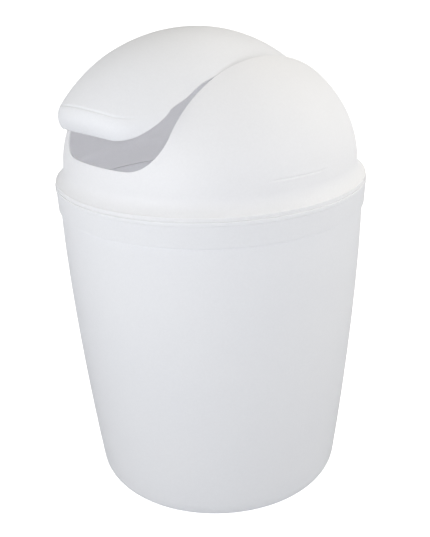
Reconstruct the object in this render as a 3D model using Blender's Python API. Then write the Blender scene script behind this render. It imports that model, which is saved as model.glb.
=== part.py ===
"""Round wastebasket with a domed lid and a swinging visor flap.

Three mouldings: the bucket, the lid that drops into its collar, and the flap
that swings on two stub pins inside the lid.

Metres, +Z up. The origin is the centre of the base. The nose of the flap
points to -Y and the flap's pivot axis runs along X.
"""
import math

import bmesh
import bpy
from mathutils import Matrix, Vector

# ---------------------------------------------------------------- dimensions
R = 0.125                       # outer radius of the lid's flange
SEGMENTS = 60                   # facets round the turned shapes

# bucket
BUCKET_WALL = 0.0016
BASE_THICK = 0.0022
BASE_FILLET = 0.0190            # rounded bottom edge, outside
BASE_RADIUS = 0.1018            # wall radius carried down to z = 0
STEP_Z = 0.2470                 # underside of the collar band
STEP_RADIUS = 0.1228            # wall radius just below the collar band
WALL_BELLY = 1.53               # exponent of the wall's belly
COLLAR_R0 = 0.1245              # collar band, lower radius
COLLAR_R1 = 0.1253              # collar band, upper radius
BEAD_R = 0.1258                 # rim bead
BEAD_Z0 = 0.2640
RIM_Z = 0.2664

# lid
LID_WALL = 0.0016
GAP = 0.0004                    # between touching pieces
DOME_R = 0.11825                # dome: semi-axis across
DOME_H = 0.09825                # dome: semi-axis up
DOME_Z = 0.27910                # height of the dome's equator
FLANGE_Z0 = RIM_Z + GAP         # underside of the flange
FLANGE_Z1 = 0.2698              # top edge of the flange's lip
FLARE_Z1 = 0.2830               # where the flare runs into the dome
FLARE_POWER = 2.4               # how tightly the flare turns out
SKIRT_Z = 0.2505                # lower edge of the locating skirt
SKIRT_R0 = 0.1224               # skirt, outer radius at its lower edge
SKIRT_R1 = 0.1228               # skirt, outer radius under the flange
SKIRT_WALL = 0.0015

# slot in the dome
SLOT_HALF = 0.0549              # half width, cut by two upright planes
SLOT_LOW = 0.2974               # front lower edge
SLOT_CORNER = 0.0252            # radius of the two front lower corners
SLOT_REAR_Y = 0.0925            # rear end of the slot
SLOT_REAR_CORNER = 0.0260

# pivot
PIVOT_Z = 0.3000
BOSS_R = 0.0070
BOSS_X = 0.1104                 # inner face of the boss
PIN_R = 0.0030
PIN_X = 0.1046                  # free end of the pin

# flap: part of an ellipsoid, tilted nose-up
FLAP_WALL = 0.0016
FLAP_A = 0.1610                 # semi-axis along
FLAP_B = 0.0964                 # semi-axis across
FLAP_C = 0.1487                 # semi-axis up
FLAP_U = 0.0130                 # centre, forward of the pivot
FLAP_Z = 0.23435                # centre height
FLAP_TILT = 0.5                 # radians
FLAP_HALF = 0.0545              # half width
DROOP_U = 0.0747                # in front of this the crown droops a little more
DROOP = 2.08                    # droop, per metre
SIDE_ROLL = 0.0024              # the side edges roll down a little behind the lip
SIDE_S = 0.0360                 # from here outwards
SIDE_U0 = 0.0560
SIDE_U1 = 0.0900
# the nose's lower edge follows the slot's front edge, set out from it and swung open
NOSE_OUT = 0.0077               # forward of the slot's edge
NOSE_DOWN = 0.0188              # below the slot's edge
NOSE_OPEN = 20.13               # degrees swung open
NOSE_CORNER = 0.0273
# front lip: from a crease under the crown down to the nose's lower edge
CREASE_MID = 0.0024             # crease ahead of the lower edge, on the centre line
CREASE_SIDE = -0.0092           # change of that towards the sides
CREASE_END = -0.0059            # and at the ends
CREASE_TAPER = 0.0110           # where the lip runs out into the side edges
LIP_BULGE = 0.0045
TAIL_U = -0.770 * R
TAIL_U0 = -0.45 * R
TAIL_POWER = 3.0
TAIL_ROLL_U = -0.50 * R         # behind this the tail rolls down
TAIL_ROLL = 2.3 / R

ARM_X = 0.1081                  # middle of the eye
ARM_HALF_ROOT = 0.0150
ARM_HALF_EYE = 0.0060
EYE_R = 0.0080
EYE_HALF = 0.0014
EYE_HOLE_R = 0.00335


# ------------------------------------------------------------------ helpers
def clear_scene():
    for ob in list(bpy.data.objects):
        bpy.data.objects.remove(ob, do_unlink=True)


def plastic(name, rgb, rough):
    mat = bpy.data.materials.new(name)
    mat.use_nodes = True
    bsdf = mat.node_tree.nodes["Principled BSDF"]
    bsdf.inputs["Base Color"].default_value = (*rgb, 1.0)
    bsdf.inputs["Roughness"].default_value = rough
    bsdf.inputs["Metallic"].default_value = 0.0
    return mat


def as_object(name, bm, mat=None, smooth=True):
    bmesh.ops.recalc_face_normals(bm, faces=bm.faces[:])
    mesh = bpy.data.meshes.new(name)
    bm.to_mesh(mesh)
    bm.free()
    if smooth:
        mesh.shade_smooth()
        mesh.set_sharp_from_angle(angle=math.radians(35))
    ob = bpy.data.objects.new(name, mesh)
    bpy.context.scene.collection.objects.link(ob)
    if mat:
        mesh.materials.append(mat)
    return ob


def turned(name, profile, mat):
    """A turned shape. The profile runs from the axis round the section and
    back to the axis, as (radius, height)."""
    bm = bmesh.new()
    verts = [bm.verts.new((r, 0.0, z)) for r, z in profile]
    edges = [bm.edges.new(pair) for pair in zip(verts[:-1], verts[1:])]
    bmesh.ops.spin(bm, geom=verts + edges, cent=(0, 0, 0), axis=(0, 0, 1),
                   angle=2 * math.pi, steps=SEGMENTS, use_merge=True)
    bmesh.ops.remove_doubles(bm, verts=bm.verts[:], dist=1e-6)
    return as_object(name, bm, mat)


def prism(name, outline, axis, low, high):
    """An outline of 2-D points, extruded along Y or Z between two planes."""
    bm = bmesh.new()
    if axis == "Y":
        ring = [bm.verts.new((a, low, b)) for a, b in outline]
        move = Vector((0, high - low, 0))
    else:
        ring = [bm.verts.new((a, b, low)) for a, b in outline]
        move = Vector((0, 0, high - low))
    face = bm.faces.new(ring)
    grown = bmesh.ops.extrude_face_region(bm, geom=[face])
    bmesh.ops.translate(bm, vec=move, verts=[v for v in grown["geom"]
                                             if isinstance(v, bmesh.types.BMVert)])
    return as_object(name, bm, smooth=False)


def rod(name, radius, x0, x1, z, sides=24):
    """A round bar along X between x0 and x1."""
    bm = bmesh.new()
    place = (Matrix.Translation(((x0 + x1) / 2, 0, z))
             @ Matrix.Rotation(math.pi / 2, 4, "Y"))
    bmesh.ops.create_cone(bm, cap_ends=True, segments=sides, radius1=radius,
                          radius2=radius, depth=abs(x1 - x0), matrix=place)
    return as_object(name, bm, smooth=False)


def combine(ob, other, operation):
    """Applies a Boolean and removes the second shape."""
    mod = ob.modifiers.new(operation.lower(), "BOOLEAN")
    mod.operation = operation
    mod.solver = "EXACT"
    mod.object = other
    graph = bpy.context.evaluated_depsgraph_get()
    mesh = bpy.data.meshes.new_from_object(ob.evaluated_get(graph))
    old = ob.data
    ob.modifiers.clear()
    ob.data = mesh
    bpy.data.meshes.remove(old)
    mesh.name = ob.name
    bpy.data.objects.remove(other, do_unlink=True)


def tidy(ob, mat, dist=2e-6):
    bm = bmesh.new()
    bm.from_mesh(ob.data)
    bmesh.ops.remove_doubles(bm, verts=bm.verts[:], dist=dist)
    bmesh.ops.dissolve_degenerate(bm, dist=dist, edges=bm.edges[:])
    bmesh.ops.triangulate(bm, faces=[f for f in bm.faces if len(f.verts) > 4])
    bmesh.ops.recalc_face_normals(bm, faces=bm.faces[:])
    bm.to_mesh(ob.data)
    bm.free()
    ob.data.materials.clear()
    ob.data.materials.append(mat)
    ob.data.shade_smooth()
    ob.data.set_sharp_from_angle(angle=math.radians(35))


def set_origin(ob, point):
    """Moves the object's origin without moving the shape."""
    ob.data.transform(Matrix.Translation(-Vector(point)))
    ob.location = point


def arc(cx, cy, radius, a0, a1, steps):
    return [(cx + radius * math.cos(a0 + (a1 - a0) * i / steps),
             cy + radius * math.sin(a0 + (a1 - a0) * i / steps))
            for i in range(steps + 1)]


# ------------------------------------------------------------------- bucket
def bucket_wall_r(z):
    """Outer radius of the wall: a slightly bellied taper."""
    return STEP_RADIUS - (STEP_RADIUS - BASE_RADIUS) * max(0.0, 1 - z / STEP_Z) ** WALL_BELLY


def bucket_profile():
    # lean of the wall where the bottom fillet meets it
    lean = math.atan2(bucket_wall_r(0.030) - bucket_wall_r(0.012), 0.018)
    rc = bucket_wall_r(BASE_FILLET) - BASE_FILLET * math.cos(lean) + 0.0001
    outer = [(0.0, 0.0)]
    outer += arc(rc, BASE_FILLET, BASE_FILLET, -math.pi / 2, -lean, 6)
    first = BASE_FILLET + 0.012
    outer += [(bucket_wall_r(z), z)
              for z in (first + (STEP_Z - first) * i / 6 for i in range(7))]
    outer += [(COLLAR_R0, STEP_Z + 0.0006), (COLLAR_R1, BEAD_Z0 - 0.0006),
              (BEAD_R, BEAD_Z0), (BEAD_R, RIM_Z - 0.0005), (BEAD_R - 0.0005, RIM_Z)]
    inner = [(COLLAR_R1 - BUCKET_WALL, RIM_Z), (COLLAR_R0 - BUCKET_WALL, STEP_Z + 0.0022)]
    inner += [(bucket_wall_r(z) - BUCKET_WALL, z)
              for z in (STEP_Z + 0.0012 - (STEP_Z - first) * i / 6 for i in range(7))]
    r_in = BASE_FILLET - BUCKET_WALL
    inner += arc(rc, BASE_THICK + r_in, r_in, -lean, -math.pi / 2, 5)
    inner += [(0.0, BASE_THICK)]
    return outer + inner


# ---------------------------------------------------------------------- lid
def dome_r(z, inset=0.0):
    k = (z - DOME_Z) / (DOME_H - inset)
    return (DOME_R - inset) * math.sqrt(max(0.0, 1 - k * k))


def lid_profile():
    steps = 13
    outer = []
    top = math.asin((FLARE_Z1 - DOME_Z) / DOME_H)
    for i in range(steps + 1):
        t = math.pi / 2 + (top - math.pi / 2) * i / steps
        outer.append((DOME_R * math.cos(t) if i else 0.0, DOME_Z + DOME_H * math.sin(t)))
    r_top = dome_r(FLARE_Z1)
    flare = []
    for i in range(1, 6):
        t = i / 5
        z = FLARE_Z1 + (FLANGE_Z1 + 0.0003 - FLARE_Z1) * t
        flare.append((r_top + (0.1240 - r_top) * t ** FLARE_POWER, z))
    lip = [(R - 0.0003, FLANGE_Z1 - 0.0003), (R, FLANGE_Z1 - 0.0012), (R, FLANGE_Z0)]
    skirt = [(SKIRT_R1, FLANGE_Z0), (SKIRT_R0, SKIRT_Z),
             (SKIRT_R0 - SKIRT_WALL, SKIRT_Z), (SKIRT_R1 - SKIRT_WALL, FLANGE_Z0 - 0.0006)]
    inner = []
    low = math.asin((FLARE_Z1 - 0.004 - DOME_Z) / DOME_H)
    inner.append((DOME_R - LID_WALL + 0.0012, FLANGE_Z0 + 0.0042))
    for i in range(steps + 1):
        t = low + (math.pi / 2 - low) * i / steps
        r = (DOME_R - LID_WALL) * math.cos(t) if i < steps else 0.0
        inner.append((r, DOME_Z + (DOME_H - LID_WALL) * math.sin(t)))
    return outer + flare + lip + skirt + inner


def slot_cutter():
    """Upright-sided slot: the front view of the opening swept through the
    dome, kept in front of the slot's rounded rear end."""
    high = 0.45
    c = SLOT_CORNER
    front = [(SLOT_HALF, high), (-SLOT_HALF, high)]
    front += arc(-SLOT_HALF + c, SLOT_LOW + c, c, math.pi, 1.5 * math.pi, 8)
    front += arc(SLOT_HALF - c, SLOT_LOW + c, c, 1.5 * math.pi, 2 * math.pi, 8)
    cutter = prism("slot_front_view", front, "Y", -0.20, 0.15)
    c = SLOT_REAR_CORNER
    side = SLOT_HALF
    plan = [(side + 0.02, -0.25), (side + 0.02, 0.0), (side, 0.0)]
    plan += arc(side - c, SLOT_REAR_Y - c, c, 0.0, math.pi / 2, 7)
    plan += arc(-side + c, SLOT_REAR_Y - c, c, math.pi / 2, math.pi, 7)
    plan += [(-side, 0.0), (-side - 0.02, 0.0), (-side - 0.02, -0.25)]
    limit = prism("slot_plan", plan, "Z", 0.20, 0.50)
    combine(cutter, limit, "INTERSECT")
    return cutter


def make_lid(mat):
    lid = turned("lid", lid_profile(), mat)
    combine(lid, slot_cutter(), "DIFFERENCE")
    for side in (-1, 1):
        boss = rod("boss", BOSS_R, side * R, side * BOSS_X, PIVOT_Z)
        # the boss's outer end is buried in the dome's wall and follows it
        for v in boss.data.vertices:
            if abs(v.co.x) > BOSS_X + 0.001:
                reach = dome_r(v.co.z) * math.cos(math.pi / SEGMENTS) - 0.0007
                v.co.x = side * math.sqrt(reach ** 2 - v.co.y ** 2)
        pin = rod("pin", PIN_R, side * (BOSS_X + 0.002), side * PIN_X, PIVOT_Z)
        combine(boss, pin, "UNION")
        combine(lid, boss, "UNION")
    tidy(lid, mat)
    return lid


# --------------------------------------------------------------------- flap
def flap_z(u, s):
    """Height of the flap's outer surface at u forward of and s beside the
    pivot: the upper side of the tilted ellipsoid, with the nose drooping and
    the tail rolled down."""
    left = 1 - (s / FLAP_B) ** 2
    co, si = math.cos(FLAP_TILT), math.sin(FLAP_TILT)
    du = u - FLAP_U
    # (du co + dz si)^2 / a^2 + (-du si + dz co)^2 / c^2 = left
    qa = si * si / FLAP_A ** 2 + co * co / FLAP_C ** 2
    qb = 2 * du * si * co * (1 / FLAP_A ** 2 - 1 / FLAP_C ** 2)
    qc = du * du * (co * co / FLAP_A ** 2 + si * si / FLAP_C ** 2) - left
    z = FLAP_Z + (-qb + math.sqrt(max(0.0, qb * qb - 4 * qa * qc))) / (2 * qa)
    if u > DROOP_U:
        z -= DROOP * (u - DROOP_U) ** 2
    if abs(s) > SIDE_S and SIDE_U0 < u < SIDE_U1:
        out = (abs(s) - SIDE_S) / (FLAP_HALF - SIDE_S)
        z -= SIDE_ROLL * out ** 2 * math.sin(math.pi * (u - SIDE_U0) / (SIDE_U1 - SIDE_U0)) ** 2
    if u < TAIL_ROLL_U:
        z -= TAIL_ROLL * (TAIL_ROLL_U - u) ** 2
    return z


def nose_edge(s):
    """Lower edge of the nose beside the centre line, as (u, z)."""
    c = NOSE_CORNER
    d = min(c, max(0.0, abs(s) - (FLAP_HALF - c)))
    z = SLOT_LOW + c - math.sqrt(c * c - d * d)
    along = math.sqrt(dome_r(z) ** 2 - s * s) + NOSE_OUT
    rise = z - PIVOT_Z - NOSE_DOWN
    co, si = math.cos(math.radians(NOSE_OPEN)), math.sin(math.radians(NOSE_OPEN))
    return along * co - rise * si, PIVOT_Z + along * si + rise * co


def crease_u(s):
    x = (s / FLAP_HALF) ** 2
    return nose_edge(s)[0] + CREASE_MID + CREASE_SIDE * x + CREASE_END * x ** 6 + CREASE_TAPER * x ** 20


def tail_u(s):
    k = 1 - abs(s / FLAP_HALF) ** TAIL_POWER
    return TAIL_U0 + (TAIL_U - TAIL_U0) * max(0.0, k) ** (1 / TAIL_POWER)


def flap_point(u, s):
    return Vector((s, -u, flap_z(u, s)))


def lip_point(t, s):
    """A point of the front lip, from the crease at t = 0 to the edge at t = 1."""
    u0, (u1, z1) = crease_u(s), nose_edge(s)
    z0 = flap_z(u0, s)
    # the lip bulges along the normal of the edge's plan
    h = 0.0005
    a, b = max(-FLAP_HALF, s - h), min(FLAP_HALF, s + h)
    plan = Vector((nose_edge(a)[0] - nose_edge(b)[0], b - a)).normalized()
    out = LIP_BULGE * 4 * t * (1 - t) * (1 - (s / FLAP_HALF) ** 2)
    return Vector((s + plan.x * out, -(u0 + (u1 - u0) * t + plan.y * out), z0 + (z1 - z0) * t))


def flap_sheet():
    """The outer surface of the flap and its two arms, as one open sheet."""
    bm = bmesh.new()
    across, crown, lip = 26, 23, 6
    along = crown + lip
    rows = []
    cols = [FLAP_HALF * math.sin(math.pi / 2 * (2 * j / across - 1)) for j in range(across + 1)]
    # the side edge is met by an arm between rows lo and hi
    lo, hi = 9, 14
    for s in cols:
        a, b = tail_u(s), crease_u(s)
        line = []
        for i in range(crown + 1):
            # rows lo..hi keep the arm's width on the side edges
            if i <= lo:
                u = a + (-ARM_HALF_ROOT - a) * (i / lo)
            elif i <= hi:
                u = -ARM_HALF_ROOT + 2 * ARM_HALF_ROOT * ((i - lo) / (hi - lo))
            else:
                u = ARM_HALF_ROOT + (b - ARM_HALF_ROOT) * ((i - hi) / (crown - hi))
            line.append(bm.verts.new(flap_point(u, s)))
        line += [bm.verts.new(lip_point(i / lip, s)) for i in range(1, lip + 1)]
        rows.append(line)
    for j in range(across):
        for i in range(along):
            bm.faces.new((rows[j][i], rows[j + 1][i], rows[j + 1][i + 1], rows[j][i + 1]))
    # arms: from the side edge along an arc under the dome down to the pivot
    start = math.acos(FLAP_HALF / ARM_X)
    rise = (flap_z(0.0, FLAP_HALF) - PIVOT_Z) / math.sin(start)
    steps = 8
    for side, edge in ((-1, rows[0]), (1, rows[-1])):
        last = edge[lo:hi + 1]
        for k in range(1, steps + 1):
            t = k / steps
            beta = start * (1 - t)
            x = side * ARM_X * math.cos(beta)
            z = PIVOT_Z + rise * math.sin(beta) - (0.003 if k == steps else 0.0)
            half = ARM_HALF_ROOT + (ARM_HALF_EYE - ARM_HALF_ROOT) * t ** 0.8
            line = []
            for m in range(hi - lo + 1):
                u = -half + 2 * half * m / (hi - lo)
                # the root follows the slope of the flap's edge
                slope = (last[m].co.z - (last[0].co.z + last[-1].co.z) / 2) * 0.55
                line.append(bm.verts.new((x, -u, z + (slope if k < steps - 1 else 0.0))))
            for m in range(hi - lo):
                quad = (last[m], line[m], line[m + 1], last[m + 1])
                bm.faces.new(quad if side > 0 else quad[::-1])
            last = line
    bmesh.ops.recalc_face_normals(bm, faces=bm.faces[:])
    if sum(f.normal.z for f in bm.faces) < 0:
        bmesh.ops.reverse_faces(bm, faces=bm.faces[:])
    mesh = bpy.data.meshes.new("swing_flap")
    bm.to_mesh(mesh)
    bm.free()
    ob = bpy.data.objects.new("swing_flap", mesh)
    bpy.context.scene.collection.objects.link(ob)
    return ob


def make_flap(mat):
    flap = flap_sheet()
    thick = flap.modifiers.new("wall", "SOLIDIFY")
    thick.thickness = FLAP_WALL
    thick.offset = -1.0
    thick.use_even_offset = True
    graph = bpy.context.evaluated_depsgraph_get()
    mesh = bpy.data.meshes.new_from_object(flap.evaluated_get(graph))
    flap.modifiers.clear()
    flap.data = mesh
    mesh.name = "swing_flap"
    for side in (-1, 1):
        eye = rod("eye", EYE_R, side * (ARM_X - EYE_HALF), side * (ARM_X + EYE_HALF), PIVOT_Z, 28)
        combine(flap, eye, "UNION")
    for side in (-1, 1):
        hole = rod("hole", EYE_HOLE_R, side * (ARM_X - 0.006), side * (ARM_X + 0.004), PIVOT_Z)
        combine(flap, hole, "DIFFERENCE")
    tidy(flap, mat)
    return flap


def main():
    clear_scene()
    white_bucket = plastic("white_plastic_bucket", (0.80, 0.82, 0.85), 0.38)
    white_lid = plastic("white_plastic_lid", (0.84, 0.85, 0.86), 0.34)
    white_flap = plastic("white_plastic_flap", (0.82, 0.83, 0.84), 0.34)

    bucket = turned("bucket", bucket_profile(), white_bucket)
    lid = make_lid(white_lid)
    flap = make_flap(white_flap)

    # the flap turns about the pins, so its origin is on their axis
    set_origin(flap, (0.0, 0.0, PIVOT_Z))
    set_origin(lid, (0.0, 0.0, RIM_Z))
    keep = flap.matrix_world.copy()
    bpy.context.view_layer.update()
    keep = flap.matrix_world.copy()
    flap.parent = lid
    flap.matrix_parent_inverse = lid.matrix_world.inverted()
    flap.matrix_world = keep
    keep = lid.matrix_world.copy()
    lid.parent = bucket
    lid.matrix_parent_inverse = bucket.matrix_world.inverted()
    lid.matrix_world = keep


main()
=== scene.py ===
"""Looks of the swing-lid wastebasket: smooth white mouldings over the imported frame.

Each CAD node gets a finely meshed stand-in of the same size, with rounded edges,
and a procedural white-plastic material. Metres, +Z up, the flap's nose at -Y.
"""

import math

import bmesh
import bpy
import numpy as np
from mathutils import Matrix, Vector


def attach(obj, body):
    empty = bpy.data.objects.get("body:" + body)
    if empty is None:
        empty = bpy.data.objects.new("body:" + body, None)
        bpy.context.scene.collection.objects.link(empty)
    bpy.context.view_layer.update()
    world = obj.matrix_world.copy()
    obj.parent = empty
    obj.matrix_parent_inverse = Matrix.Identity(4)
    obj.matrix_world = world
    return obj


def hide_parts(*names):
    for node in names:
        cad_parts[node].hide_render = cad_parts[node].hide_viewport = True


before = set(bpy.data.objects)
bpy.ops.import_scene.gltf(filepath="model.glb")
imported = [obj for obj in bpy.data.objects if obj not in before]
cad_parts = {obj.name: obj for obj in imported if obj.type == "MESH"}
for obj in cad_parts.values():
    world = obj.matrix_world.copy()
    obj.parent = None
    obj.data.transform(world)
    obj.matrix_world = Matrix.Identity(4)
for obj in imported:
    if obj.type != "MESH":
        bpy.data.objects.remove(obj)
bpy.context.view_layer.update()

# ---------------------------------------------------------------- dimensions
R = 0.125
SEGMENTS = 320

BUCKET_WALL = 0.0016
BASE_THICK = 0.0022
BASE_FILLET = 0.0190
BASE_RADIUS = 0.1018
STEP_Z = 0.2470
STEP_RADIUS = 0.1228
WALL_BELLY = 1.53
COLLAR_R0 = 0.1245
COLLAR_R1 = 0.1253
BEAD_R = 0.1258
BEAD_Z0 = 0.2640
RIM_Z = 0.2664

LID_WALL = 0.0016
GAP = 0.0004
DOME_R = 0.11825
DOME_H = 0.09825
DOME_Z = 0.27910
FLANGE_Z0 = RIM_Z + GAP
FLANGE_Z1 = 0.2700
FLARE_Z1 = 0.2830
FLARE_POWER = 2.4
SKIRT_Z = 0.2505
SKIRT_R0 = 0.1224
SKIRT_R1 = 0.1228
SKIRT_WALL = 0.0015

SLOT_HALF = 0.0549
SLOT_LOW = 0.2974
SLOT_CORNER = 0.0252
SLOT_REAR_Y = 0.0925
SLOT_REAR_CORNER = 0.0260

PIVOT_Z = 0.3000
BOSS_R = 0.0070
BOSS_X = 0.1104
PIN_R = 0.0030
PIN_X = 0.1046

FLAP_WALL = 0.0016
FLAP_A = 0.1610
FLAP_B = 0.0964
FLAP_C = 0.1487
FLAP_U = 0.0130
FLAP_Z = 0.23435
FLAP_TILT = 0.5
FLAP_HALF = 0.0545
DROOP_U = 0.0747
DROOP = 2.08
SIDE_ROLL = 0.0024
SIDE_S = 0.0360
SIDE_U0 = 0.0560
SIDE_U1 = 0.0900
NOSE_OUT = 0.0077
NOSE_DOWN = 0.0188
NOSE_OPEN = math.radians(20.13)
NOSE_CORNER = 0.0273
CREASE_MID = 0.0024
CREASE_SIDE = -0.0092
CREASE_END = -0.0059
CREASE_TAPER = 0.0110
LIP_BULGE = 0.0038
# the crease shows as a shallow groove that runs out towards the corners
GROOVE_DEPTH = 0.00055
GROOVE_WIDTH = 0.00070
GROOVE_END = 0.0460
TAIL_U = -0.770 * R
TAIL_U0 = -0.45 * R
TAIL_POWER = 3.0
TAIL_ROLL_U = -0.50 * R
TAIL_ROLL = 2.3 / R

ARM_X = 0.1081
ARM_HALF_ROOT = 0.0150
ARM_HALF_EYE = 0.0060
EYE_R = 0.0080
EYE_HALF = 0.0014
EYE_HOLE_R = 0.00335

# sink mark of the pivot's inner rib, on both flanks of the dome
SINK_Z = 0.2908
SINK_FROM, SINK_TO = math.radians(66), math.radians(94)
SINK_DEPTH = 0.00028


# ------------------------------------------------------------------- meshing
class Shell:
    """Points and faces of one moulding."""

    def __init__(self):
        self.points = []
        self.faces = []

    def point(self, p):
        self.points.append((float(p[0]), float(p[1]), float(p[2])))
        return len(self.points) - 1

    def strip(self, a, b, closed):
        n = len(a)
        for i in range(n if closed else n - 1):
            k = (i + 1) % n
            self.faces.append((a[i], a[k], b[k], b[i]))

    def fan(self, centre, ring):
        for i in range(len(ring)):
            self.faces.append((centre, ring[i], ring[(i + 1) % len(ring)]))


def finish_mesh(name, shell, weld=2e-7):
    """A closed mesh, facing out, with normals weighted by face area so that
    broad faces stay clean beside small rounded edges."""
    mesh = bpy.data.meshes.new(name)
    mesh.from_pydata(shell.points, [], shell.faces)
    bm = bmesh.new()
    bm.from_mesh(mesh)
    bmesh.ops.remove_doubles(bm, verts=bm.verts[:], dist=weld)
    bmesh.ops.dissolve_degenerate(bm, dist=1e-8, edges=bm.edges[:])
    bmesh.ops.recalc_face_normals(bm, faces=bm.faces[:])
    if bm.calc_volume(signed=True) < 0:
        bmesh.ops.reverse_faces(bm, faces=bm.faces[:])
    bm.to_mesh(mesh)
    bm.free()
    mesh.shade_smooth()
    mesh.calc_loop_triangles()
    count = len(mesh.vertices)
    co = np.zeros(count * 3)
    mesh.vertices.foreach_get("co", co)
    co = co.reshape(-1, 3)
    tri = np.zeros(len(mesh.loop_triangles) * 3, np.int64)
    mesh.loop_triangles.foreach_get("vertices", tri)
    tri = tri.reshape(-1, 3)
    area = np.cross(co[tri[:, 1]] - co[tri[:, 0]], co[tri[:, 2]] - co[tri[:, 0]])
    normal = np.zeros_like(co)
    for k in range(3):
        np.add.at(normal, tri[:, k], area)
    size = np.linalg.norm(normal, axis=1, keepdims=True)
    normal = normal / np.maximum(size, 1e-30)
    mesh.normals_split_custom_set_from_vertices(normal.tolist())
    ob = bpy.data.objects.new(name, mesh)
    bpy.context.scene.collection.objects.link(ob)
    return ob


def rounded(path, steps=5):
    """A polyline of (r, z) or (r, z, fillet radius) with its corners rounded."""
    out = [Vector(path[0][:2])]
    for i in range(1, len(path) - 1):
        p = Vector(path[i][:2])
        radius = path[i][2] if len(path[i]) > 2 else 0.0
        a = Vector(path[i - 1][:2]) - p
        b = Vector(path[i + 1][:2]) - p
        la, lb = a.length, b.length
        a, b = a / la, b / lb
        half = math.acos(max(-1.0, min(1.0, a.dot(b)))) / 2
        if radius <= 0 or half > math.radians(89.7):
            out.append(p)
            continue
        t = min(radius / math.tan(half), 0.49 * la, 0.49 * lb)
        rr = t * math.tan(half)
        c = p + (a + b).normalized() * (rr / math.sin(half))
        s, e = p + a * t - c, p + b * t - c
        a0 = math.atan2(s.y, s.x)
        turn = (math.atan2(e.y, e.x) - a0 + math.pi) % (2 * math.pi) - math.pi
        for k in range(steps + 1):
            w = a0 + turn * k / steps
            out.append(c + Vector((math.cos(w), math.sin(w))) * rr)
    out.append(Vector(path[-1][:2]))
    return out


def thickened(path, most):
    """The same polyline with long runs split, so that no row is taller than most."""
    out = [path[0]]
    for p, q in zip(path[:-1], path[1:]):
        n = max(1, math.ceil((q - p).length / most))
        out += [p.lerp(q, k / n) for k in range(1, n + 1)]
    return out


def spun(shell, path, columns=SEGMENTS):
    """Turns a polyline of (r, z) about Z. Returns its rings; a point on the
    axis gives a single index."""
    rings = []
    for r, z in path:
        if r < 1e-7:
            rings.append(shell.point((0, 0, z)))
        else:
            rings.append([shell.point((r * math.sin(a), -r * math.cos(a), z))
                          for a in (2 * math.pi * j / columns for j in range(columns))])
    for a, b in zip(rings[:-1], rings[1:]):
        if isinstance(a, int):
            shell.fan(a, b)
        elif isinstance(b, int):
            shell.fan(b, a)
        else:
            shell.strip(a, b, True)
    return rings


def rim_profile(steps=8, power=0.62):
    """Rounded edge between two skins: pairs of (across, out), from +1 to -1."""
    out = []
    for k in range(1, steps):
        w = math.pi * k / steps
        c, s = math.cos(w), math.sin(w)
        out.append((math.copysign(abs(c) ** power, c), s ** power))
    return out


def close_rim(shell, outer, inner, outward, reach):
    """Joins the edge loops of two skins with a rounded edge. outward holds the
    direction out of the skin at each point of the loop."""
    po = [Vector(shell.points[i]) for i in outer]
    pi = [Vector(shell.points[i]) for i in inner]
    last = outer
    for across, out in rim_profile():
        ring = []
        for a, b, t in zip(po, pi, outward):
            ring.append(shell.point((a + b) / 2 + (a - b) / 2 * across + t * (reach * out)))
        shell.strip(last, ring, True)
        last = ring
    shell.strip(last, inner, True)


# -------------------------------------------------------------------- bucket
def bucket_wall_r(z):
    return STEP_RADIUS - (STEP_RADIUS - BASE_RADIUS) * max(0.0, 1 - z / STEP_Z) ** WALL_BELLY


def make_bucket():
    heights = [0.040 + (STEP_Z - 0.040) * i / 16 for i in range(17)]
    path = [(0.0, 0.0), (bucket_wall_r(0.0), 0.0, BASE_FILLET)]
    path += [(bucket_wall_r(z), z) for z in heights[:-1]]
    path += [(STEP_RADIUS, STEP_Z - 0.0012, 0.0008), (STEP_RADIUS - 0.0004, STEP_Z, 0.0002),
             (COLLAR_R0, STEP_Z + 0.0002, 0.00035),
             (COLLAR_R1, BEAD_Z0 - 0.0004, 0.0003), (BEAD_R, BEAD_Z0, 0.0003),
             (BEAD_R, RIM_Z + 0.00037, 0.00060), (COLLAR_R1 - BUCKET_WALL, RIM_Z + 0.00037, 0.0006),
             (COLLAR_R0 - BUCKET_WALL, STEP_Z + 0.0033, 0.0003),
             (STEP_RADIUS - BUCKET_WALL, STEP_Z + 0.0030, 0.0004)]
    path += [(bucket_wall_r(z) - BUCKET_WALL, z) for z in heights[-2::-1]]
    path += [(bucket_wall_r(0.0) - BUCKET_WALL, BASE_THICK, BASE_FILLET - BUCKET_WALL),
             (0.0, BASE_THICK)]
    shell = Shell()
    spun(shell, thickened(rounded(path, 8), 0.008))
    return finish_mesh("bucket_shell", shell)


# ----------------------------------------------------------------------- lid
def dome_at(t, a):
    """Point and outward normal of the dome's outer skin: t is the ellipse's
    angle above its equator, a the azimuth from the nose towards +X."""
    r, z = DOME_R * math.cos(t), DOME_Z + DOME_H * math.sin(t)
    nr, nz = math.cos(t) / DOME_R, math.sin(t) / DOME_H
    size = math.hypot(nr, nz)
    nr, nz = nr / size, nz / size
    sa, ca = math.sin(a), math.cos(a)
    n = Vector((nr * sa, -nr * ca, nz))
    return Vector((r * sa, -r * ca, z)) + n * sink(z, a), n


def sink(z, a):
    """Depth of the faint sink mark over the pivot's rib."""
    side = abs((a + math.pi) % (2 * math.pi) - math.pi)
    d = z - SINK_Z
    if abs(d) > 0.025 or side < 0.9 or side > 1.8:
        return 0.0
    ease = math.radians(5)
    w = min(max((side - SINK_FROM) / ease, 0.0), 1.0) * min(max((SINK_TO - side) / ease, 0.0), 1.0)
    w = w * w * (3 - 2 * w)
    line = math.exp(-(d / 0.00055) ** 2) - 0.40 * math.exp(-((abs(d) - 0.0014) / 0.0007) ** 2)
    dx = (side - math.radians(86)) * 0.1155
    spot = math.exp(-(dx / 0.0022) ** 2 - ((z - 0.3005) / 0.0048) ** 2)
    return -SINK_DEPTH * w * line - 0.00010 * spot


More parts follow.
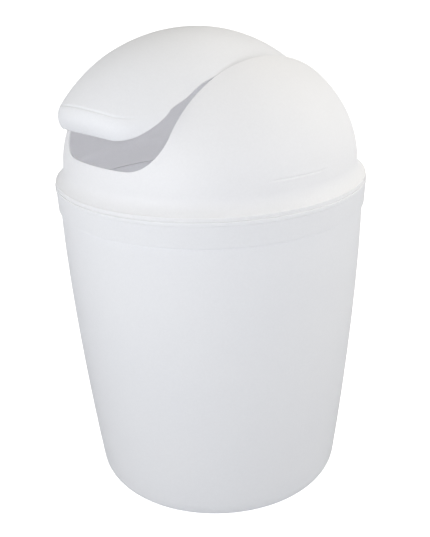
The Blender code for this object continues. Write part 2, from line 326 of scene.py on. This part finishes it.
def slot_distance(p):
    """Distance to the edge of the slot, negative inside it."""
    ax = abs(p.x)
    c = SLOT_CORNER
    qx, qz = ax - (SLOT_HALF - c), (SLOT_LOW + c) - p.z
    front = math.hypot(max(qx, 0), max(qz, 0)) + min(max(qx, qz), 0) - c
    c = SLOT_REAR_CORNER
    px, py = ax - (SLOT_HALF - c), p.y - (SLOT_REAR_Y - c)
    plan = math.hypot(max(px, 0), max(py, 0)) + min(max(px, py), 0) - c
    return max(front, plan)


def make_lid():
    shell = Shell()
    reach = 0.0005
    t_low = math.asin((FLARE_Z1 - DOME_Z) / DOME_H)
    t_high = math.acos(0.050 / DOME_R)
    rows = [t_low + (t_high - t_low) * (i / 84) for i in range(85)]
    marks = [SINK_Z + d for d in (-.0022, -.0017, -.0013, -.0009, -.0006, -.0003, 0, .0003,
                                  .0006, .0009, .0013, .0017, .0022)]
    extra = [math.asin((z - DOME_Z) / DOME_H) for z in marks]
    rows = [t for t in rows if not extra[0] - 0.006 < t < extra[-1] + 0.006] + extra
    rows.sort()
    cols = SEGMENTS
    az = [2 * math.pi * j / cols for j in range(cols + 1)]

    skin = {}        # grid corner or grid edge -> index of its outer point
    normals = {}     # outer index -> normal
    value = [[slot_distance(dome_at(t, a)[0]) - reach for a in az[:cols]] for t in rows]

    def corner(i, j):
        key = (i, j % cols)
        if key not in skin:
            p, n = dome_at(rows[i], az[j % cols])
            skin[key] = shell.point(p)
            normals[skin[key]] = n
        return skin[key]

    def crossing(i0, j0, i1, j1):
        ends = sorted([(i0, j0 % cols), (i1, j1 % cols)])
        key = tuple(ends)
        if key not in skin:
            t0, a0, t1, a1 = rows[i0], az[j0], rows[i1], az[j1]
            lo, hi = 0.0, 1.0
            v0 = value[i0][j0 % cols]
            for _ in range(40):
                m = (lo + hi) / 2
                v = slot_distance(dome_at(t0 + (t1 - t0) * m, a0 + (a1 - a0) * m)[0]) - reach
                if (v < 0) == (v0 < 0):
                    lo = m
                else:
                    hi = m
            p, n = dome_at(t0 + (t1 - t0) * lo, a0 + (a1 - a0) * lo)
            skin[key] = shell.point(p)
            normals[skin[key]] = n
        return skin[key]

    edge = {}
    faces = []
    for i in range(len(rows) - 1):
        for j in range(cols):
            cell = [(i, j), (i, j + 1), (i + 1, j + 1), (i + 1, j)]
            val = [value[a][b % cols] for a, b in cell]
            if all(v < 0 for v in val):
                continue
            if all(v >= 0 for v in val):
                faces.append(tuple(corner(*c) for c in cell))
                continue
            poly, cut = [], []
            for k in range(4):
                c, d = cell[k], cell[(k + 1) % 4]
                if val[k] >= 0:
                    poly.append(corner(*c))
                if (val[k] < 0) != (val[(k + 1) % 4] < 0):
                    poly.append(crossing(*c, *d))
                    cut.append((poly[-1], val[k] >= 0))
            if len(poly) >= 3:
                faces.append(tuple(poly))
            # the cut edge runs from where the polygon leaves to where it comes back
            leave = [p for p, out in cut if out]
            back = [p for p, out in cut if not out]
            if len(leave) == 1:
                edge[leave[0]] = back[0]
    shell.faces += faces
    outer_of = sorted(normals)
    inner_of = {}
    for k in outer_of:
        inner_of[k] = shell.point(Vector(shell.points[k]) - normals[k] * LID_WALL)
    shell.faces += [tuple(inner_of[k] for k in reversed(f)) for f in faces]

    start = next(iter(edge))
    loop = [start]
    while edge[loop[-1]] != start:
        loop.append(edge[loop[-1]])
    assert len(loop) == len(edge), (len(loop), len(edge))
    # thin out points of the loop that almost coincide is not needed: the edge
    # direction is taken over a longer reach on both sides
    pos = [Vector(shell.points[k]) for k in loop]
    outward = []
    for k, p in enumerate(pos):
        n = normals[loop[k]]
        a = b = p
        step = 1
        while (b - a).length < 0.0015 and step < 12:
            a, b = pos[k - step], pos[(k + step) % len(pos)]
            step += 1
        t = n.cross((b - a).normalized()).normalized()
        if slot_distance(p + t * 0.0004) > slot_distance(p - t * 0.0004):
            t = -t
        outward.append(t)
    close_rim(shell, loop, [inner_of[k] for k in loop], outward, reach)

    # flare, lip, flange, skirt and back up inside to the dome's lowest row
    r_top = DOME_R * math.cos(t_low)
    last_in = shell.points[inner_of[corner(0, 0)]]
    flare = []
    n = 28
    for k in range(1, n + 1):
        w = k / n
        flare.append((r_top + (0.1241 - r_top) * w ** FLARE_POWER,
                      FLARE_Z1 + (FLANGE_Z1 + 0.0002 - FLARE_Z1) * w))
    path = [(r_top, FLARE_Z1)] + flare
    path += [(R, FLANGE_Z1, 0.0006), (R, FLANGE_Z0, 0.00010), (SKIRT_R1, FLANGE_Z0, 0.0006),
             (SKIRT_R0, SKIRT_Z, 0.0004), (SKIRT_R0 - SKIRT_WALL, SKIRT_Z, 0.0004),
             (SKIRT_R1 - SKIRT_WALL, FLANGE_Z0 - 0.0006, 0.0090),
             (DOME_R - LID_WALL + 0.0012, FLANGE_Z0 + 0.0042, 0.0090),
             (math.hypot(last_in[0], last_in[1]), last_in[2])]
    path = thickened(rounded(path, 6), 0.004)
    first = [corner(0, j) for j in range(cols)]
    final = [inner_of[k] for k in first]
    rings = [first]
    for r, z in path[1:-1]:
        rings.append([shell.point((r * math.sin(a), -r * math.cos(a), z)) for a in az[:cols]])
    rings.append(final)
    for a, b in zip(rings[:-1], rings[1:]):
        shell.strip(a, b, True)
    return finish_mesh("lid_shell", shell)


def make_pivot(side):
    """Boss and stub pin on the inside of the dome. The boss's outer end lies
    inside the dome's wall and follows it."""
    shell = Shell()
    sides = 64
    path = rounded([(BOSS_R + 0.0012, 0.0), (BOSS_R, 0.0022, 0.0015), (BOSS_R - 0.0002, 0.0060, 0.0006),
                    (PIN_R, 0.0060, 0.0006), (PIN_R - 0.0001, 0.0118, 0.0007), (0.0, 0.0118)], 5)
    base = BOSS_X + 0.0060
    rings = []
    for k, (r, d) in enumerate(path):
        if r < 1e-7:
            rings.append(shell.point((side * (base - d), 0, PIVOT_Z)))
            continue
        ring = []
        for j in range(sides):
            w = 2 * math.pi * j / sides
            y, z = r * math.cos(w), PIVOT_Z + r * math.sin(w)
            x = base - d
            if d < 0.0055:
                t = math.asin((z - DOME_Z) / DOME_H)
                wall = math.sqrt((DOME_R * math.cos(t)) ** 2 - y * y) - 0.0008
                x = wall + (BOSS_X - wall) * d / 0.0060
            ring.append(shell.point((side * x, y, z)))
        rings.append(ring)
    middle = Vector((0, 0, 0))
    for i in rings[0]:
        middle += Vector(shell.points[i]) / sides
    shell.fan(shell.point(middle), rings[0])
    for a, b in zip(rings[:-1], rings[1:]):
        if isinstance(b, int):
            shell.fan(b, a)
        else:
            shell.strip(a, b, True)
    return finish_mesh("lid_pivot_right" if side > 0 else "lid_pivot_left", shell)


# ---------------------------------------------------------------------- flap
def flap_z(u, s):
    left = 1 - (s / FLAP_B) ** 2
    co, si = math.cos(FLAP_TILT), math.sin(FLAP_TILT)
    du = u - FLAP_U
    qa = si * si / FLAP_A ** 2 + co * co / FLAP_C ** 2
    qb = 2 * du * si * co * (1 / FLAP_A ** 2 - 1 / FLAP_C ** 2)
    qc = du * du * (co * co / FLAP_A ** 2 + si * si / FLAP_C ** 2) - left
    z = FLAP_Z + (-qb + math.sqrt(max(0.0, qb * qb - 4 * qa * qc))) / (2 * qa)
    if u > DROOP_U:
        z -= DROOP * (u - DROOP_U) ** 2
    if abs(s) > SIDE_S and SIDE_U0 < u < SIDE_U1:
        out = (abs(s) - SIDE_S) / (FLAP_HALF - SIDE_S)
        z -= SIDE_ROLL * out ** 2 * math.sin(math.pi * (u - SIDE_U0) / (SIDE_U1 - SIDE_U0)) ** 2
    if u < TAIL_ROLL_U:
        z -= TAIL_ROLL * (TAIL_ROLL_U - u) ** 2
    return z


def nose_edge(s):
    """Lower edge of the nose, as (u, z): the slot's front edge, set out from
    the dome and swung open."""
    c = NOSE_CORNER
    d = min(c, max(0.0, abs(s) - (FLAP_HALF - c)))
    z = SLOT_LOW + c - math.sqrt(c * c - d * d)
    r2 = DOME_R ** 2 * (1 - ((z - DOME_Z) / DOME_H) ** 2)
    along = math.sqrt(r2 - s * s) + NOSE_OUT
    rise = z - PIVOT_Z - NOSE_DOWN
    co, si = math.cos(NOSE_OPEN), math.sin(NOSE_OPEN)
    return along * co - rise * si, PIVOT_Z + along * si + rise * co


def crease_u(s):
    x = (s / FLAP_HALF) ** 2
    return nose_edge(s)[0] + CREASE_MID + CREASE_SIDE * x + CREASE_END * x ** 6 + CREASE_TAPER * x ** 20


def tail_u(s):
    k = 1 - abs(s / FLAP_HALF) ** TAIL_POWER
    return TAIL_U0 + (TAIL_U - TAIL_U0) * max(0.0, k) ** (1 / TAIL_POWER)


def plan_normal(s):
    h = 0.0004
    a, b = max(-FLAP_HALF, s - h), min(FLAP_HALF, s + h)
    return Vector((nose_edge(a)[0] - nose_edge(b)[0], b - a)).normalized()


def groove(d, s):
    """Depth of the crease's groove at a distance d from the crease."""
    w = min(1.0, max(0.0, (GROOVE_END - abs(s)) / 0.010))
    return GROOVE_DEPTH * w * w * (3 - 2 * w) * math.exp(-(d / GROOVE_WIDTH) ** 2)


def flap_point(u, s, near=None):
    p = Vector((s, -u, flap_z(u, s)))
    if near is not None:
        p += Vector((0.0, 0.72, -0.69)) * groove(1.4 * (near - u), s)
    return p


def lip_point(t, s):
    """Front lip, from the crease at t = 0 to the lower edge at t = 1."""
    u0, (u1, z1) = crease_u(s), nose_edge(s)
    z0 = flap_z(u0, s)
    n = plan_normal(s)
    out = LIP_BULGE * 4 * t * (1 - t) * (1 - (s / FLAP_HALF) ** 2)
    p = Vector((s + n.x * out, -(u0 + (u1 - u0) * t + n.y * out), z0 + (z1 - z0) * t))
    return p + Vector((0.0, 0.72, -0.69)) * groove(0.020 * t, s)


def make_flap():
    shell = Shell()
    across = 84
    n_tail, n_mid, n_nose, n_fine, n_lip = 34, 16, 44, 12, 36
    cols = [FLAP_HALF * math.sin(math.pi / 2 * (2 * j / across - 1)) for j in range(across + 1)]
    n_top = n_tail + n_mid + n_nose + n_fine
    along = n_top + n_lip

    def row_point(i, s):
        a, b = tail_u(s), crease_u(s)
        if i <= n_tail:
            return flap_point(a + (-ARM_HALF_ROOT - a) * (i / n_tail), s)
        i -= n_tail
        if i <= n_mid:
            return flap_point(-ARM_HALF_ROOT + 2 * ARM_HALF_ROOT * i / n_mid, s)
        i -= n_mid
        # rows close together on both sides of the crease
        fine = 0.0024
        if i <= n_nose:
            return flap_point(ARM_HALF_ROOT + (b - fine - ARM_HALF_ROOT) * i / n_nose, s, b)
        i -= n_nose
        if i <= n_fine:
            return flap_point(b - fine + fine * i / n_fine, s, b)
        i -= n_fine
        part = 0.16 * i / n_fine if i <= n_fine else 0.16 + 0.84 * (i - n_fine) / (n_lip - n_fine)
        return lip_point(part, s)

    grid = [[shell.point(row_point(i, s)) for i in range(along + 1)] for s in cols]
    sheet = []
    for j in range(across):
        for i in range(along):
            sheet.append((grid[j][i], grid[j + 1][i], grid[j + 1][i + 1], grid[j][i + 1]))

    lo, hi = n_tail, n_tail + n_mid
    start = math.acos(FLAP_HALF / ARM_X)
    rise = (flap_z(0.0, FLAP_HALF) - PIVOT_Z) / math.sin(start)
    end = math.asin(0.0055 / rise)
    steps = 30
    arms = {}
    for side, root in ((-1, grid[0]), (1, grid[-1])):
        last = root[lo:hi + 1]
        root_z = [shell.points[k][2] for k in last]
        flat_z = PIVOT_Z + rise * math.sin(start)
        left_edge, right_edge, tip = [], [], None
        for k in range(1, steps + 1):
            t = k / steps
            beta = start + (end - start) * t
            x = side * ARM_X * math.cos(beta)
            z = PIVOT_Z + rise * math.sin(beta)
            half = ARM_HALF_EYE + (ARM_HALF_ROOT - ARM_HALF_EYE) * (1 - t) ** 1.3
            keep = max(0.0, 1 - t * 4) ** 2
            line = []
            for m in range(n_mid + 1):
                u = -half + 2 * half * m / n_mid
                line.append(shell.point((x, -u, z + (root_z[m] - flat_z) * keep)))
            for m in range(n_mid):
                quad = (last[m], line[m], line[m + 1], last[m + 1])
                sheet.append(quad if side > 0 else quad[::-1])
            left_edge.append(line[0])
            right_edge.append(line[-1])
            last = line
        arms[side] = (left_edge, right_edge, last)

    # the sheet's normals, then its inner skin
    co = np.array(shell.points)
    quad = np.array(sheet)
    area = np.cross(co[quad[:, 2]] - co[quad[:, 0]], co[quad[:, 3]] - co[quad[:, 1]])
    normal = np.zeros_like(co)
    for k in range(4):
        np.add.at(normal, quad[:, k], area)
    normal /= np.maximum(np.linalg.norm(normal, axis=1, keepdims=True), 1e-30)
    if normal[grid[across // 2][along // 2]][2] < 0:
        normal = -normal
    inner = {}
    for k in range(len(co)):
        inner[k] = shell.point(Vector(co[k]) - Vector(normal[k]) * FLAP_WALL)
    shell.faces += sheet
    shell.faces += [tuple(inner[k] for k in reversed(f)) for f in sheet]

    # the sheet's edge, walked once round: nose, right side, arm, tail, left side, arm
    r_left, r_right, r_tip = arms[1]
    l_left, l_right, l_tip = arms[-1]
    loop = [grid[j][along] for j in range(across + 1)]
    loop += [grid[across][i] for i in range(along - 1, hi, -1)]
    loop += [grid[across][hi]] + r_right[:-1] + r_tip[::-1] + r_left[:-1][::-1] + [grid[across][lo]]
    loop += [grid[across][i] for i in range(lo - 1, -1, -1)]
    loop += [grid[j][0] for j in range(across - 1, -1, -1)]
    loop += [grid[0][i] for i in range(1, lo)]
    loop += [grid[0][lo]] + l_left[:-1] + l_tip + l_right[:-1][::-1] + [grid[0][hi]]
    loop += [grid[0][i] for i in range(hi + 1, along)]
    pos = [Vector(co[k]) for k in loop]
    outward = []
    for k, p in enumerate(pos):
        a = b = p
        step = 1
        while (b - a).length < 0.0012 and step < 20:
            a, b = pos[k - step], pos[(k + step) % len(pos)]
            step += 1
        outward.append((b - a).normalized().cross(Vector(normal[loop[k]])).normalized())
    # the nose is walked towards +X, where the sheet lies behind the edge
    if outward[across // 2].y > 0:
        outward = [-t for t in outward]
    close_rim(shell, loop, [inner[k] for k in loop], outward, 0.0005)
    return finish_mesh("flap_shell", shell)


def make_eye(side):
    """Ring at the end of an arm, round the lid's pin."""
    path = rounded([(EYE_HOLE_R, 0.0), (EYE_HOLE_R, EYE_HALF, 0.0004), (EYE_R, EYE_HALF, 0.0007),
                    (EYE_R, -EYE_HALF, 0.0007), (EYE_HOLE_R, -EYE_HALF, 0.0004), (EYE_HOLE_R, 0.0)], 5)[:-1]
    shell = Shell()
    sides = 72
    rings = []
    for r, d in path:
        rings.append([shell.point((side * ARM_X + d, r * math.cos(w), PIVOT_Z + r * math.sin(w)))
                      for w in (2 * math.pi * j / sides for j in range(sides))])
    for a, b in zip(rings, rings[1:] + rings[:1]):
        shell.strip(a, b, True)
    return finish_mesh("flap_eye_right" if side > 0 else "flap_eye_left", shell)


# ----------------------------------------------------------------- materials
def node(tree, kind, place, **values):
    n = tree.nodes.new(kind)
    n.location = place
    for key, value in values.items():
        if key in n.inputs:
            n.inputs[key].default_value = value
        else:
            setattr(n, key, value)
    return n


def white_plastic(name, light, dark, rough_low, rough_high, shift):
    """Moulded white polypropylene: cloudy flow tone, faint scuffs, a fine
    satin grain, and a painted highlight that paints rounded edges paler."""
    mat = bpy.data.materials.new(name)
    mat.use_nodes = True
    tree = mat.node_tree
    link = tree.links.new
    bsdf = tree.nodes["Principled BSDF"]
    bsdf.inputs["IOR"].default_value = 1.49
    bsdf.inputs["Subsurface Weight"].default_value = 0.8
    bsdf.inputs["Subsurface Radius"].default_value = (1.0, 1.0, 1.0)
    bsdf.inputs["Subsurface Scale"].default_value = 0.0008

    place = node(tree, "ShaderNodeTexCoord", (-1500, 0))
    moved = node(tree, "ShaderNodeMapping", (-1320, 0), Location=shift)
    link(place.outputs["Object"], moved.inputs["Vector"])

    # colour: broad cloudy tone, then fine speckle
    cloud = node(tree, "ShaderNodeTexNoise", (-1080, 300), Scale=9.0, Detail=3.0, Roughness=0.5)
    link(moved.outputs["Vector"], cloud.inputs["Vector"])
    tone = node(tree, "ShaderNodeValToRGB", (-880, 300))
    tone.color_ramp.elements[0].position = 0.30
    tone.color_ramp.elements[0].color = (*dark, 1)
    tone.color_ramp.elements[1].position = 0.70
    tone.color_ramp.elements[1].color = (*light, 1)
    link(cloud.outputs["Fac"], tone.inputs["Fac"])

    speck = node(tree, "ShaderNodeTexNoise", (-1080, 60), Scale=620.0, Detail=2.0, Roughness=0.6)
    link(moved.outputs["Vector"], speck.inputs["Vector"])
    speck_tone = node(tree, "ShaderNodeMapRange", (-880, 60))
    speck_tone.inputs["From Min"].default_value = 0.35
    speck_tone.inputs["From Max"].default_value = 0.75
    speck_tone.inputs["To Min"].default_value = 0.985
    speck_tone.inputs["To Max"].default_value = 1.01
    link(speck.outputs["Fac"], speck_tone.inputs["Value"])
    fine = node(tree, "ShaderNodeMix", (-620, 240), data_type="RGBA", blend_type="MULTIPLY")
    fine.inputs["Factor"].default_value = 1.0
    link(tone.outputs["Color"], fine.inputs["A"])
    link(speck_tone.outputs["Result"], fine.inputs["B"])

    # painted highlight: rounded edges are painted a little paler, in patches, and made a little smoother
    geo = node(tree, "ShaderNodeNewGeometry", (-1080, -560))
    edge_highlight_ramp = node(tree, "ShaderNodeMapRange", (-880, -560))
    edge_highlight_ramp.inputs["From Min"].default_value = 0.53
    edge_highlight_ramp.inputs["From Max"].default_value = 0.62
    link(geo.outputs["Pointiness"], edge_highlight_ramp.inputs["Value"])
    patch = node(tree, "ShaderNodeTexNoise", (-1080, -760), Scale=48.0, Detail=4.0, Roughness=0.65)
    link(moved.outputs["Vector"], patch.inputs["Vector"])
    edge_highlight_mask = node(tree, "ShaderNodeMath", (-660, -600), operation="MULTIPLY")
    link(edge_highlight_ramp.outputs["Result"], edge_highlight_mask.inputs[0])
    link(patch.outputs["Fac"], edge_highlight_mask.inputs[1])
    # mixes in the painted edge highlight, a paler colour on the rounded edges
    colour = node(tree, "ShaderNodeMix", (-380, 200), data_type="RGBA", blend_type="MIX")
    colour.inputs["B"].default_value = (min(1, light[0] * 1.03), min(1, light[1] * 1.03), min(1, light[2] * 1.03), 1)
    link(edge_highlight_mask.outputs["Value"], colour.inputs["Factor"])
    link(fine.outputs["Result"], colour.inputs["A"])
    link(colour.outputs["Result"], bsdf.inputs["Base Color"])

    # roughness: cloudy, with long faint scuffs
    cloudy = node(tree, "ShaderNodeTexNoise", (-1080, -140), Scale=34.0, Detail=5.0, Roughness=0.6)
    link(moved.outputs["Vector"], cloudy.inputs["Vector"])
    stretch = node(tree, "ShaderNodeMapping", (-1320, -340), Scale=(14.0, 14.0, 150.0),
                   Rotation=(0.5, 0.35, 0.2))
    link(moved.outputs["Vector"], stretch.inputs["Vector"])
    scuff = node(tree, "ShaderNodeTexNoise", (-1080, -340), Scale=1.0, Detail=6.0, Roughness=0.7)
    link(stretch.outputs["Vector"], scuff.inputs["Vector"])
    scuffed = node(tree, "ShaderNodeMapRange", (-880, -340))
    scuffed.inputs["From Min"].default_value = 0.60
    scuffed.inputs["From Max"].default_value = 0.80
    scuffed.inputs["To Max"].default_value = 0.10
    link(scuff.outputs["Fac"], scuffed.inputs["Value"])
    base = node(tree, "ShaderNodeMapRange", (-880, -140))
    base.inputs["From Min"].default_value = 0.30
    base.inputs["From Max"].default_value = 0.70
    base.inputs["To Min"].default_value = rough_low
    base.inputs["To Max"].default_value = rough_high
    link(cloudy.outputs["Fac"], base.inputs["Value"])
    rough = node(tree, "ShaderNodeMath", (-640, -200), operation="ADD", use_clamp=True)
    link(base.outputs["Result"], rough.inputs[0])
    link(scuffed.outputs["Result"], rough.inputs[1])
    smooth = node(tree, "ShaderNodeMath", (-440, -200), operation="MULTIPLY_ADD", use_clamp=True)
    smooth.inputs[1].default_value = -0.08
    link(edge_highlight_mask.outputs["Value"], smooth.inputs[0])
    link(rough.outputs["Value"], smooth.inputs[2])
    link(smooth.outputs["Value"], bsdf.inputs["Roughness"])

    # bump: slow moulding waviness under a fine satin grain
    wave = node(tree, "ShaderNodeTexNoise", (-640, -860), Scale=26.0, Detail=1.5, Roughness=0.4)
    link(moved.outputs["Vector"], wave.inputs["Vector"])
    grain = node(tree, "ShaderNodeTexNoise", (-640, -1060), Scale=1500.0, Detail=2.0, Roughness=0.5)
    link(moved.outputs["Vector"], grain.inputs["Vector"])
    slow = node(tree, "ShaderNodeBump", (-420, -860), Strength=0.10, Distance=0.0010)
    link(wave.outputs["Fac"], slow.inputs["Height"])
    quickly = node(tree, "ShaderNodeBump", (-220, -960), Strength=0.10, Distance=0.00006)
    link(grain.outputs["Fac"], quickly.inputs["Height"])
    link(slow.outputs["Normal"], quickly.inputs["Normal"])
    link(quickly.outputs["Normal"], bsdf.inputs["Normal"])
    return mat


def dress(ob, material, body):
    ob.data.materials.append(material)
    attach(ob, body)
    return ob


# ------------------------------------------------------------------ assembly
bucket_white = white_plastic("bucket_white", (0.912, 0.918, 0.928), (0.892, 0.900, 0.912), 0.34, 0.44, (0.3, 0.1, 0.0))
lid_white = white_plastic("lid_white", (0.918, 0.920, 0.924), (0.900, 0.902, 0.908), 0.46, 0.56, (0.0, 0.5, 0.2))
flap_white = white_plastic("flap_white", (0.897, 0.904, 0.915), (0.880, 0.887, 0.899), 0.46, 0.56, (0.7, 0.2, 0.4))

bucket = dress(make_bucket(), bucket_white, "bucket")
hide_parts("bucket")
lid = dress(make_lid(), lid_white, "lid")
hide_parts("lid")
for side in (-1, 1):
    dress(make_pivot(side), lid_white, "lid")
flap = dress(make_flap(), flap_white, "flap")
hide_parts("swing_flap")
for side in (-1, 1):
    dress(make_eye(side), flap_white, "flap")

# --------------------------------------------------------------------- floor
def make_floor():
    bm = bmesh.new()
    bmesh.ops.create_circle(bm, cap_ends=True, segments=96, radius=9.0)
    mesh = bpy.data.meshes.new("floor")
    bm.to_mesh(mesh)
    bm.free()
    ob = bpy.data.objects.new("floor", mesh)
    bpy.context.scene.collection.objects.link(ob)
    mat = bpy.data.materials.new("floor_white")
    mat.use_nodes = True
    bsdf = mat.node_tree.nodes["Principled BSDF"]
    bsdf.inputs["Base Color"].default_value = (0.93, 0.93, 0.93, 1)
    bsdf.inputs["Roughness"].default_value = 0.9
    bsdf.inputs["Specular IOR Level"].default_value = 0.0
    bsdf.inputs["Emission Color"].default_value = (1, 1, 1, 1)
    bsdf.inputs["Emission Strength"].default_value = 1.0
    mat.cycles.emission_sampling = "NONE"
    mesh.materials.append(mat)
    ob.visible_diffuse = False
    ob.visible_glossy = False
    ob.visible_transmission = False
    ob.visible_shadow = False
    return ob


make_floor()

# --------------------------------------------------------------------- light
scene = bpy.context.scene
world = bpy.data.worlds.new("studio")
scene.world = world
world.use_nodes = True
background = world.node_tree.nodes["Background"]
background.inputs["Strength"].default_value = 1.0
# a pale room over a bright floor: the light's strength by the height it comes from
way = world.node_tree.nodes.new("ShaderNodeTexCoord")
height = world.node_tree.nodes.new("ShaderNodeSeparateXYZ")
span = world.node_tree.nodes.new("ShaderNodeMapRange")
span.inputs["From Min"].default_value = -1.0
room = world.node_tree.nodes.new("ShaderNodeValToRGB")
world.node_tree.links.new(way.outputs["Generated"], height.inputs["Vector"])
world.node_tree.links.new(height.outputs["Z"], span.inputs["Value"])
world.node_tree.links.new(span.outputs["Result"], room.inputs["Fac"])
world.node_tree.links.new(room.outputs["Color"], background.inputs["Color"])
levels = ((0.00, 0.844, (0.97, 0.99, 1.04)), (0.25, 0.314, (0.98, 0.99, 1.03)),
          (0.50, 0.671, (0.97, 0.99, 1.04)), (0.75, 0.366, (1.02, 1.0, 0.98)),
          (1.00, 0.529, (1.03, 1.01, 0.96)))
while len(room.color_ramp.elements) < len(levels):
    room.color_ramp.elements.new(0.5)
for element, (position, level, tint) in zip(room.color_ramp.elements, levels):
    element.position = position
    element.color = (level * tint[0], level * tint[1], level * tint[2], 1)


def softbox(name, place, aim, size, power, colour):
    data = bpy.data.lights.new(name, "AREA")
    data.shape = "RECTANGLE"
    data.size, data.size_y = size
    data.energy = power
    data.color = colour
    ob = bpy.data.objects.new(name, data)
    scene.collection.objects.link(ob)
    ob.location = place
    ob.rotation_mode = "QUATERNION"
    ob.rotation_quaternion = (Vector(aim) - Vector(place)).to_track_quat("-Z", "Y")
    return ob


def round_the_bin(side, above, away):
    """A place round the bin: degrees to the right of the view, degrees above
    the bin's middle, and the distance from it."""
    a = math.radians(side) + math.atan2(-0.5051, 0.5323)
    e = math.radians(above)
    return (away * math.cos(a) * math.cos(e), away * math.sin(a) * math.cos(e), 0.22 + away * math.sin(e))


middle = (0.0, 0.0, 0.22)
softbox("near_left", round_the_bin(-32, 16, 0.8), middle, (0.45, 0.45), 1.664, (0.973, 0.991, 1.036))
softbox("far_left", round_the_bin(-62, 16, 0.8), middle, (0.45, 0.45), 0.731, (1.0, 1.0, 1.0))
softbox("near_right", round_the_bin(34, 16, 0.8), middle, (0.45, 0.45), 0.601, (0.981, 0.986, 1.033))
softbox("far_right", round_the_bin(82, 18, 0.85), middle, (0.8, 0.8), 2.081, (1.031, 1.008, 0.962))
softbox("right_top", round_the_bin(110, 45, 1.5), middle, (0.9, 0.9), 2.498, (1.046, 1.013, 0.940))
softbox("back_top", round_the_bin(150, 50, 1.5), middle, (0.9, 0.9), 2.176, (1.054, 1.007, 0.939))


def inner_fill(z):
    """Stands in for the light that comes through the thin walls."""
    data = bpy.data.lights.new("inner_fill", "POINT")
    data.shadow_soft_size = 0.04
    data.energy = 0.0492
    data.color = (0.993, 0.979, 1.028)
    ob = bpy.data.objects.new("inner_fill", data)
    scene.collection.objects.link(ob)
    ob.location = (0.0, 0.0, z)
    ob.visible_camera = False
    ob.visible_glossy = False


for z in (0.08, 0.16, 0.24):
    inner_fill(z)

# -------------------------------------------------------------------- camera
camera_data = bpy.data.cameras.new("camera")
camera = bpy.data.objects.new("camera", camera_data)
scene.collection.objects.link(camera)
right = Vector((0.69718442, 0.71635726, -0.02767958))
up = Vector((-0.24607416, 0.27539582, 0.92930331))
ahead = Vector((-0.67333601, 0.64108456, -0.36827869))
place = Vector((0.5322985, -0.5051324, 0.4737918))
camera.matrix_world = Matrix((
    (right.x, up.x, -ahead.x, place.x),
    (right.y, up.y, -ahead.y, place.y),
    (right.z, up.z, -ahead.z, place.z),
    (0, 0, 0, 1)))
camera_data.sensor_width = 36.0
camera_data.lens = 928.5400 * 36.0 / 537.0
camera_data.clip_start = 0.01
camera_data.clip_end = 100.0
scene.camera = camera
scene.view_settings.view_transform = "Standard"
scene.view_settings.look = "None"
